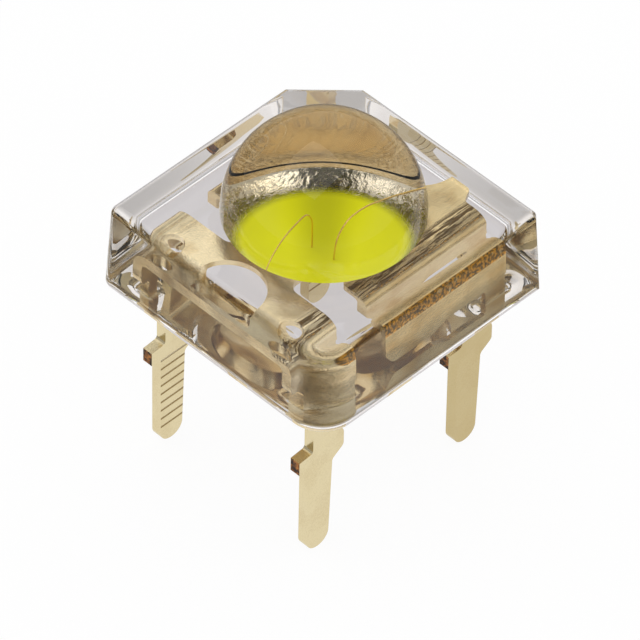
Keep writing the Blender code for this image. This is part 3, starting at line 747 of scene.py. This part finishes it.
def rib_mask(nodes):
    """Mask of the level ribs pressed in part of a leg: the crests of a cosine along Z."""
    _, _, z = nodes.axes(nodes.where())
    wave = nodes.math("COSINE", nodes.times(z, math.tau / RIB_PITCH))
    crests = nodes.step(wave, 0.70, 0.95)
    part = nodes.times(nodes.step(z, 2.96 * MM, 2.86 * MM), nodes.step(z, 0.48 * MM, 0.56 * MM))
    return nodes.times(crests, part)


def plate_material(name, light, dark, roughness, ribs=False, grain=0.0):
    """Plated sheet: two tones, rolling lines, cracked folds, and if asked ribs or coarse grain."""
    scene = bpy.context.scene
    frames, tones = scene.superflux_frames, scene.superflux_finish
    made, nodes, shader = new_material(name)
    sheet = nodes.add("Group", node_tree=plated_sheet_group(), Row_Y=frames.pitch / 2 / MM,
                      Middle_Y=frames.shift_y / MM, Sheet_Z=sheet_top() / MM).outputs
    # The patches mix in the dark tone: random tarnish, and painted shade round the cup and on the
    # skirts
    tone = nodes.mix(nodes.math("MULTIPLY", sheet["Patches"], 0.85, clamp=True), light, dark)
    tone = nodes.mix(sheet["Lines"], tone, tones.crack)
    facing = nodes.add("LayerWeight").outputs["Facing"]
    bare = nodes.times(nodes.step(facing, 0.155, 0.125), sheet["Bare"])
    mottle = nodes.noise(nodes.where(), 14000.0)
    torn = nodes.mix(nodes.step(mottle, 0.42, 0.58, kind="LINEAR"), tones.crack, tones.bare)
    tone = nodes.mix(bare, tone, torn)
    height = sheet["Height"]
    if ribs:
        cut = rib_mask(nodes)
        height = nodes.times(cut, -1.6, height)
        # The rib grooves are painted in the dark tone: painted shade in the grooves
        tone = nodes.mix(cut, tone, [c * 0.75 for c in dark])
    if grain:
        height = nodes.times(mottle, grain, height)
    rough = nodes.step(sheet["Lines"], 0.0, 1.0, roughness * 0.8, roughness * 1.6, "LINEAR")
    nodes.dress(shader, Base_Color=tone, Metallic=nodes.step(bare, 0.0, 1.0, 1.0, 0.8, "LINEAR"),
                Roughness=rough, Normal=nodes.bump(height, 0.6, 0.02 * MM))
    return made


def copper_material(tones):
    """Torn copper of the cut stubs: dark and coarse, with ragged bright streaks."""
    made, nodes, shader = new_material("cut_copper")
    grain = nodes.noise(nodes.where(), 7000.0, 5.0, 0.7)
    streaks = nodes.step(grain, 0.46, 0.62, kind="LINEAR")
    nodes.dress(shader, Base_Color=nodes.mix(streaks, (0.035, 0.012, 0.003), tones.copper),
                Metallic=0.6, Roughness=0.5, Normal=nodes.bump(grain, 0.8, 0.02 * MM))
    return made


def phosphor_material(tones, cup):
    """Phosphor resin: dense yellow with painted shade in a streak away from the camera, thinning to
    clear resin at the wall.
    """
    made, nodes, shader = new_material("phosphor_resin")
    plan = nodes.vector("MULTIPLY", nodes.where(), (1 / MM, 1 / MM, 0))
    turned = nodes.add("VectorRotate", rotation_type="Z_AXIS", Angle=math.radians(-45),
                       Vector=plan)
    along, aside, _ = nodes.axes(turned.outputs["Vector"])
    # Painted shade: a streak of darker yellow from the middle away from the camera
    shade_streak = nodes.times(nodes.step(nodes.math("ABSOLUTE", aside), 0.50, 0.02),
                         nodes.step(along, -1.3, 0.5))
    reach = cup.cloud / MM
    grain = nodes.noise(nodes.where(), 2200.0, 6.0)
    nodes.dress(shader, Base_Color=nodes.mix(shade_streak, tones.phosphor, tones.phosphor_shade),
                Alpha=nodes.step(nodes.vector("LENGTH", plan), reach + 0.11, reach - 0.06),
                Roughness=0.5, Specular_IOR_Level=0.1, Normal=nodes.bump(grain, 0.25, 0.01 * MM))
    return made


def epoxy_material(tones):
    """Clear resin: glass of the epoxy's own index; lamps reach what lies inside it."""
    made, nodes, shader = new_material("clear_resin")
    haze = nodes.noise(nodes.where(), 500.0, 2.0)
    nodes.dress(shader, Base_Color=(*tones.epoxy, 1), Transmission_Weight=1.0, IOR=1.53,
                Roughness=nodes.step(haze, 0.0, 1.0, 0.0, 0.012, "LINEAR"))
    shadow = nodes.add("LightPath").outputs["Is Shadow Ray"]
    through = nodes.add("BsdfTransparent").outputs[0]
    nodes.dress(nodes.tree.nodes["Material Output"],
                Surface=nodes.blend(shadow, shader.outputs[0], through))
    return made


def plain_material(name, tint, roughness, metallic, scale):
    """Small hidden or fine pieces: one tint with a slight grain."""
    made, nodes, shader = new_material(name)
    grain = nodes.noise(nodes.where(), scale)
    nodes.dress(shader, Base_Color=nodes.mix(grain, [c * 0.8 for c in tint], tint),
                Roughness=roughness, Metallic=metallic)
    return made


def plate(kind):
    """Plate of the cup's sheet, its ribbed leg faces, the post's duller sheet or the bright cup.

    A look is its light tone, dark tone, roughness, ribs and coarse grain.
    """
    tones = bpy.context.scene.superflux_finish
    looks = {"sheet": (tones.gold, tones.gold_tarnish_and_shade, 0.22),
             "ribbed": (tones.gold, tones.gold_tarnish_and_shade, 0.25, True),
             "dull": (tones.gold_dull, tones.gold_tarnish_and_shade, 0.24),
             "cup": (tones.silver, tones.gold, 0.16, False, 1.2)}
    name = "plated_" + kind
    return bpy.data.materials.get(name) or plate_material(name, *looks[kind])


# Operators

class SUPERFLUX_OT_body(bpy.types.Operator):
    """Clear cast body with its dome, as one closed surface without inner walls"""
    bl_idname = "superflux.body"
    bl_label = "Clear body"

    def execute(self, context):
        scene = context.scene
        rings = body_rings(scene.superflux_body, scene.superflux_frames)
        piece = mesh_piece("clear_body", rings, epoxy_material(scene.superflux_finish), smooth=30)
        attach(piece, "root")
        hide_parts("epoxy_body")
        return {"FINISHED"}


# Size of the cup's soft corners; twice as much overlaps the sheet round it
LIP = 0.03 * MM
# Radius of the cup's rolled rim
RIM_ROUND = 0.10 * MM
# Thickness under the cup's floor, and share of the sheet's thickness that the cup's flange fills
CUP_FLOOR = 0.22 * MM
FLANGE_SHARE = 0.8


class SUPERFLUX_OT_leadframes(bpy.types.Operator):
    """Both stamped and folded leadframes, and the cup pressed into the left one"""
    bl_idname = "superflux.leadframes"
    bl_label = "Leadframes"

    def execute(self, context):
        scene = context.scene
        frames, cup = scene.superflux_frames, scene.superflux_cup
        materials = [plate("sheet"), copper_material(scene.superflux_finish), plate("ribbed")]
        left = folded_sheet("cup_sheet", cup_sheet(frames, cup), frames, materials)
        finish_sheet(left, frames, frames.shift_x - frames.pitch / 2)
        materials[0] = plate("dull")
        right = folded_sheet("post_sheet", post_sheet(frames), frames, materials)
        finish_sheet(right, frames, frames.shift_x + frames.pitch / 2)
        reflector = self.cup(frames, cup)
        for piece in (left, right, reflector):
            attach(piece, "root")
        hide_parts("cup_leadframe")
        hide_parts("cup_leadframe")
        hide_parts("post_leadframe")
        return {"FINISHED"}

    def cup(self, frames, cup):
        """Pressed cup, turned from its profile: floor, sloped wall, arc of the rolled rim, back."""
        top = sheet_top()
        bottom, slope = top - cup.depth, (cup.rim - cup.floor) / cup.depth
        profile = [(0, bottom), (cup.floor - LIP, bottom),
                   (cup.floor + LIP * 0.6, bottom + LIP * 0.4)]
        profile += [(cup.floor + slope * z, bottom + z)
                    for z in np.linspace(2 * LIP, cup.depth - 2 * LIP, 8)]
        tilt = math.atan2(cup.depth, cup.rim - cup.floor)
        profile += [(cup.rim + RIM_ROUND * (math.tan(tilt / 2) - math.sin(a)),
                     top - RIM_ROUND * (1 - math.cos(a))) for a in tilt * np.linspace(1, 0, 6)]
        back, under = top - frames.sheet * FLANGE_SHARE, bottom - CUP_FLOOR
        outer = cup.floor + slope * (cup.depth - frames.sheet) + cup.wall * math.sqrt(2)
        profile += [(cup.rim + 2 * LIP, top), (cup.rim + 2 * LIP, back), (outer, back),
                    (cup.floor + cup.wall, under), (0, under)]
        piece = turned_piece("reflector_cup", profile, plate("sheet"), smooth=30)
        piece.data.materials.append(plate("cup"))
        mark_faces(piece.data, 1, lambda c, n: (c[:, 0] * n[:, 0] + c[:, 1] * n[:, 1] < 0)
                   | ((n[:, 2] > 0.9) & (c[:, 2] < top)))
        return piece


class SUPERFLUX_OT_fill(bpy.types.Operator):
    """Phosphor fill: a pool turned from a parabola that climbs steeply at the cup's wall"""
    bl_idname = "superflux.fill"
    bl_label = "Phosphor fill"

    def execute(self, context):
        cup = context.scene.superflux_cup
        bottom, edge = sheet_top() - cup.depth, sheet_top() - cup.fill
        slope = (cup.rim - cup.floor) / cup.depth
        climb, steepness, gap = 0.01 * MM, 18, 0.01 * MM
        reach = cup.floor + slope * (edge + climb - bottom)
        share = np.linspace(0, 1, 40)
        height = edge + cup.crown * (1 - share**2) + climb * np.exp((share - 1) * steepness)
        profile = [*zip(reach * share, height), (cup.floor, bottom + gap), (0, bottom + gap)]
        material = phosphor_material(context.scene.superflux_finish, cup)
        piece = turned_piece("phosphor_pool", profile, material, smooth=60)
        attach(piece, "root")
        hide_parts("phosphor_fill")
        return {"FINISHED"}


# Bond wire loops: share of the way to the stitch, share of the crest's height over the sheet
CUP_LOOP = ((0.01, 0.32), (0.03, 0.70), (0.11, 0.95), (0.30, 1.00), (0.58, 0.88), (0.84, 0.48))
POST_LOOP = ((0.01, 0.18), (0.05, 0.63), (0.15, 0.95), (0.28, 1.00), (0.49, 0.79), (0.70, 0.47))
# Radii of the rings that make the ball, in wire radii
BALL_RADII = (0.02, 2.2, 3.0, 1.8)
# Distance of the pads from the chip's middle, and the line that the stitches are on
PAD_Y = 0.205 * MM
STITCH_Y = -0.10 * MM
# Height of a stitch in wire radii, and share of the way that its flat end takes
STITCH_RISE = 0.8
STITCH_END = 0.03
# Rings along a wire
WIRE_RINGS = 90


class SUPERFLUX_OT_wires(bpy.types.Operator):
    """Both bond wires with their balls and stitches, and finishes for the chip and its paste"""
    bl_idname = "superflux.wires"
    bl_label = "Bond wires and chip"

    def execute(self, context):
        scene = context.scene
        tones = scene.superflux_finish
        gold = plain_material("gold_wire", tones.wire, 0.25, 1.0, 4000.0)
        for name in ("bond_wire_cup", "bond_wire_post"):
            self.wire(name, gold, scene.superflux_cup)
        crystal = plain_material("chip_crystal", (0.10, 0.14, 0.20), 0.2, 0.0, 3000.0)
        paste = plain_material("silver_paste", (0.35, 0.34, 0.32), 0.5, 0.6, 6000.0)
        for name, material in (("led_chip", crystal), ("die_attach", paste)):
            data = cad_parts[name].data
            data.materials.clear()
            data.materials.append(material)
        return {"FINISHED"}

    def wire(self, name, material, cup):
        """Tube from the ball on the chip, up and over its loop, down to a flattened stitch."""
        thick = cup.wire / 2
        pad_y, stitch_x, crest, loop = {
            "bond_wire_cup": (PAD_Y, cup.cup_stitch, cup.cup_crest, CUP_LOOP),
            "bond_wire_post": (-PAD_Y, cup.post_stitch, cup.post_crest, POST_LOOP)}[name]
        foot = np.array([0.0, pad_y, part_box("led_chip")[1].z + thick])
        end = np.array([stitch_x, STITCH_Y, sheet_top() + STITCH_RISE * thick])
        knots = [foot]
        for way, rise in loop:
            plan = foot + (end - foot) * way
            knots.append((plan[0], plan[1], sheet_top() + crest * rise))
        knots += [end + (foot - end) * (STITCH_END, STITCH_END, 0) + (0, 0, 2 * thick), end]
        route = smooth_route(knots, WIRE_RINGS)
        radii = np.full(WIRE_RINGS, thick)
        radii[:4] = thick * np.array(BALL_RADII)
        radii[-1] = thick * BALL_RADII[0]
        rings = tube_rings(route, radii)
        piece = mesh_piece(name + "_drawn", rings, material, smooth=60)
        bm = bmesh.new()
        bm.from_mesh(piece.data)
        bmesh.ops.holes_fill(bm, edges=[edge for edge in bm.edges if edge.is_boundary])
        bmesh.ops.recalc_face_normals(bm, faces=bm.faces)
        bm.to_mesh(piece.data)
        bm.free()
        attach(piece, "root")
        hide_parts(name)


# Stage

# Patches of the studio's sky: azimuth, elevation, inner and outer radius in degrees, gain.
# The first list is what metal inside the clear resin mirrors, the second what outer faces mirror.
INNER_SKY = (
    (134, 51, 7, 27, 0.66),
    (-11, 23, 13, 18, 1.30),
    (-84, 22, 11, 18, 0.85),
    (-112, 26, 10, 30, 0.20),
    (-46, 70, 6, 12, 1.0),
    (-49, 44, 11, 21, -1.2),
)
OUTER_SKY = (
    (134, 45, 20, 40, 0.10),
    (-46, 50, 30, 70, -0.38),
)
SKY_LEVEL = 0.47
SKY_LEAST = 0.03
# Tones of the surroundings: for the camera, for scattered light, through the clear resin as painted
# shade, and the floor's for metal inside the resin, for outer faces and far away
WHITE = (1, 1, 1)
SCATTERED = (0.92, 0.92, 0.92)
SHADE_THROUGH_RESIN = (0.61, 0.59, 0.59)
INNER_FLOOR = (0.95, 0.92, 0.88)
OUTER_FLOOR = (0.85, 0.85, 0.83)
FAR_FLOOR = (0.15, 0.15, 0.15)
# Share of the floor's even tone where the camera and mirrors see it, the rest shows its shadow
FLOOR_GLOW = 0.93
# Radius of the floor in metres, and how far it lies under the leg tips
FLOOR_RADIUS = 0.5
FLOOR_DROP = 0.002 * MM
# The photograph's width in pixels, its pixels in a millimetre at the body, and how many pixels
# the underside's middle lies right of and over its middle
FRAME = 640
SCALE = 41.54 / MM
SHIFT = (2.5, 38.1)
# Width of the camera's sensor in millimetres
SENSOR = 36.0


def ray_kinds(nodes):
    """Outputs that are 1 for rays that only passed clear resin, the camera's and inner ones."""
    path = nodes.add("LightPath").outputs
    unmirrored = nodes.math("LESS_THAN", path["Glossy Depth"], 0.5)
    inside = nodes.math("GREATER_THAN", path["Transmission Depth"], 0.5)
    return nodes.times(path["Is Transmission Ray"], unmirrored), path["Is Camera Ray"], inside


def floor_material(tone):
    """Pale floor, even to the camera, to mirrors and through glass, that keeps its shadow.

    Seen from inside the resin it carries a painted shadow under the body. Seen from outside it is
    darker far away. Through the clear resin it is a painted grey shade.
    """
    made, nodes, shader = new_material("pale_floor")
    nodes.dress(shader, Base_Color=(*tone, 1), Roughness=0.9, Specular_IOR_Level=0.0)
    clear, seen, inside = ray_kinds(nodes)
    path = nodes.add("LightPath").outputs
    lit = nodes.math("MAXIMUM", seen, path["Is Glossy Ray"])
    share = nodes.times(nodes.math("MAXIMUM", lit, path["Is Transmission Ray"]), FLOOR_GLOW)
    far = nodes.vector("LENGTH", nodes.where())
    outer = nodes.mix(nodes.step(far, 15 * MM, 9 * MM), FAR_FLOOR, OUTER_FLOOR)
    # Painted shadow of the body: the floor is darker under it for metal inside the resin
    under = [c / 2 for c in INNER_FLOOR]
    inner = nodes.mix(nodes.step(far, 1.5 * MM, 8 * MM), under, INNER_FLOOR)
    mirrored = nodes.mix(clear, nodes.mix(inside, outer, inner), SHADE_THROUGH_RESIN)
    glow = nodes.add("Emission", Color=nodes.mix(seen, mirrored, WHITE))
    nodes.dress(nodes.tree.nodes["Material Output"],
                Surface=nodes.blend(share, shader.outputs[0], glow.outputs[0]))
    return made


def add_floor(tone, rings=24, around=96):
    """Disc with its rings close together near the object: the radius grows with the square."""
    radii = (FLOOR_RADIUS * np.linspace(0, 1, rings)**2)[:, None]
    turn = np.linspace(0, math.tau, around, endpoint=False)
    points = np.stack([radii * np.cos(turn), radii * np.sin(turn),
                       np.full((rings, around), -FLOOR_DROP)], -1)
    mesh = bpy.data.meshes.new("floor")
    mesh.from_pydata(points.reshape(-1, 3).tolist(), [], ring_faces(rings, around))
    mesh.materials.append(floor_material(tone))
    floor = linked("floor", mesh)


def toward(azimuth, elevation):
    """Unit vector at an azimuth and elevation in radians; azimuth 0 looks from -Y."""
    return np.array([math.sin(azimuth) * math.cos(elevation),
                     -math.cos(azimuth) * math.cos(elevation), math.sin(elevation)])


def sky_level(nodes, where, patches):
    """The sky's even level and its patches, never under a faint glow.

    A patch is round: the dot product of the ray's direction with the patch's own direction, stepped
    smoothly between the cosines of its outer and inner radius.
    """
    level = SKY_LEVEL
    for azimuth, elevation, inner, outer, gain in patches:
        middle = toward(math.radians(azimuth), math.radians(elevation))
        near = nodes.vector("DOT_PRODUCT", where, middle)
        edge, core = (math.cos(math.radians(radius)) for radius in (outer, inner))
        level = nodes.math("ADD", nodes.step(near, edge, core, end=gain), level)
    return nodes.math("MAXIMUM", level, SKY_LEAST)


def add_world():
    """White for the camera, a painted grey shade through the clear resin, and a studio of soft
    boxes for metal.
    """
    world = bpy.data.worlds.new("studio")
    bpy.context.scene.world = world
    world.use_nodes = True
    world.node_tree.nodes.clear()
    nodes = Nodes(world.node_tree)
    where = nodes.where("Generated")
    outer, inner = (sky_level(nodes, where, patches) for patches in (OUTER_SKY, INNER_SKY))
    clear, seen, inside = ray_kinds(nodes)
    tone = nodes.mix(clear, nodes.mix(inside, outer, inner), SHADE_THROUGH_RESIN)
    scattered = nodes.math("GREATER_THAN", nodes.add("LightPath").outputs["Diffuse Depth"], 0.5)
    tone = nodes.mix(seen, nodes.mix(scattered, tone, SCATTERED), WHITE)
    back = nodes.add("Background", Color=tone)
    nodes.add("OutputWorld", Surface=back.outputs[0])


def placed_axes(x, y, z, place):
    """Matrix of an object at the place with these local axes."""
    rows = np.eye(4)
    rows[:3] = np.column_stack([x, y, z, place])
    return Matrix(rows.tolist())


def add_lamp(name, place, size, power):
    """Square soft lamp that faces the body."""
    data = bpy.data.lights.new(name, "AREA")
    data.size, data.energy = size, power
    lamp = linked(name, data)
    away = np.array(place) - (0, 0, UNDERSIDE)
    away /= np.linalg.norm(away)
    side = np.cross((0, 1, 0), away)
    side /= np.linalg.norm(side)
    lamp.matrix_world = placed_axes(side, np.cross(away, side), away, place)


def add_camera(studio):
    """Camera on the given sphere round the underside's middle, with the photograph's frame."""
    back = toward(studio.azimuth, studio.elevation)
    right = np.array([math.cos(studio.azimuth), math.sin(studio.azimuth), 0])
    up = np.cross(back, right)
    cos, sin = math.cos(studio.roll), math.sin(studio.roll)
    right, up = right * cos + up * sin, up * cos - right * sin
    place = back * studio.distance - (right * SHIFT[0] + up * SHIFT[1]) / SCALE + (0, 0, UNDERSIDE)
    data = bpy.data.cameras.new("camera")
    data.sensor_width = SENSOR
    data.lens = SCALE * studio.distance * SENSOR / FRAME
    data.clip_start, data.clip_end = 0.01, 10.0
    camera = linked("camera", data)
    camera.matrix_world = placed_axes(right, up, back, place)
    bpy.context.scene.camera = camera


class SUPERFLUX_OT_stage(bpy.types.Operator):
    """Pale floor, soft lamp, white surroundings and the camera"""
    bl_idname = "superflux.stage"
    bl_label = "Stage"

    def execute(self, context):
        studio = context.scene.superflux_studio
        add_floor(studio.floor)
        add_world()
        add_lamp("overhead", place=(-0.06, 0.06, 0.40), size=0.40, power=0.35)
        add_camera(studio)
        context.scene.view_settings.view_transform = "Standard"
        # Light that stays in the clear body is mirrored many times before it leaves
        context.scene.cycles.glossy_bounces = 8
        context.scene.cycles.max_bounces = 16
        return {"FINISHED"}


class SUPERFLUX_PT_panel(bpy.types.Panel):
    """Buttons and sizes of the superflux LED"""
    bl_label = "Superflux LED"
    bl_idname = "SUPERFLUX_PT_panel"
    bl_space_type = "VIEW_3D"
    bl_region_type = "UI"
    bl_category = "Superflux"

    def draw(self, context):
        for operator in OPERATORS:
            self.layout.operator(operator.bl_idname)
        for name in GROUPS:
            group = getattr(context.scene, name)
            box = self.layout.box()
            for prop in group.bl_rna.properties:
                if prop.identifier not in ("rna_type", "name"):
                    box.prop(group, prop.identifier)


GROUPS = {
    "superflux_body": SUPERFLUX_PG_body,
    "superflux_frames": SUPERFLUX_PG_frames,
    "superflux_cup": SUPERFLUX_PG_cup,
    "superflux_finish": SUPERFLUX_PG_finish,
    "superflux_studio": SUPERFLUX_PG_studio,
}
OPERATORS = (SUPERFLUX_OT_leadframes, SUPERFLUX_OT_fill, SUPERFLUX_OT_wires, SUPERFLUX_OT_body,
             SUPERFLUX_OT_stage)


def register():
    for cls in (*GROUPS.values(), *OPERATORS, SUPERFLUX_PT_panel):
        bpy.utils.register_class(cls)
    for name, cls in GROUPS.items():
        setattr(bpy.types.Scene, name, bpy.props.PointerProperty(type=cls))


def unregister():
    for name in GROUPS:
        delattr(bpy.types.Scene, name)
    for cls in (SUPERFLUX_PT_panel, *reversed(OPERATORS), *reversed(list(GROUPS.values()))):
        bpy.utils.unregister_class(cls)


def main():
    """Build every piece and the stage."""
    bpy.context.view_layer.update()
    register()
    bpy.ops.superflux.leadframes()
    bpy.ops.superflux.fill()
    bpy.ops.superflux.wires()
    bpy.ops.superflux.body()
    bpy.ops.superflux.stage()


if __name__ == "__main__":
    main()
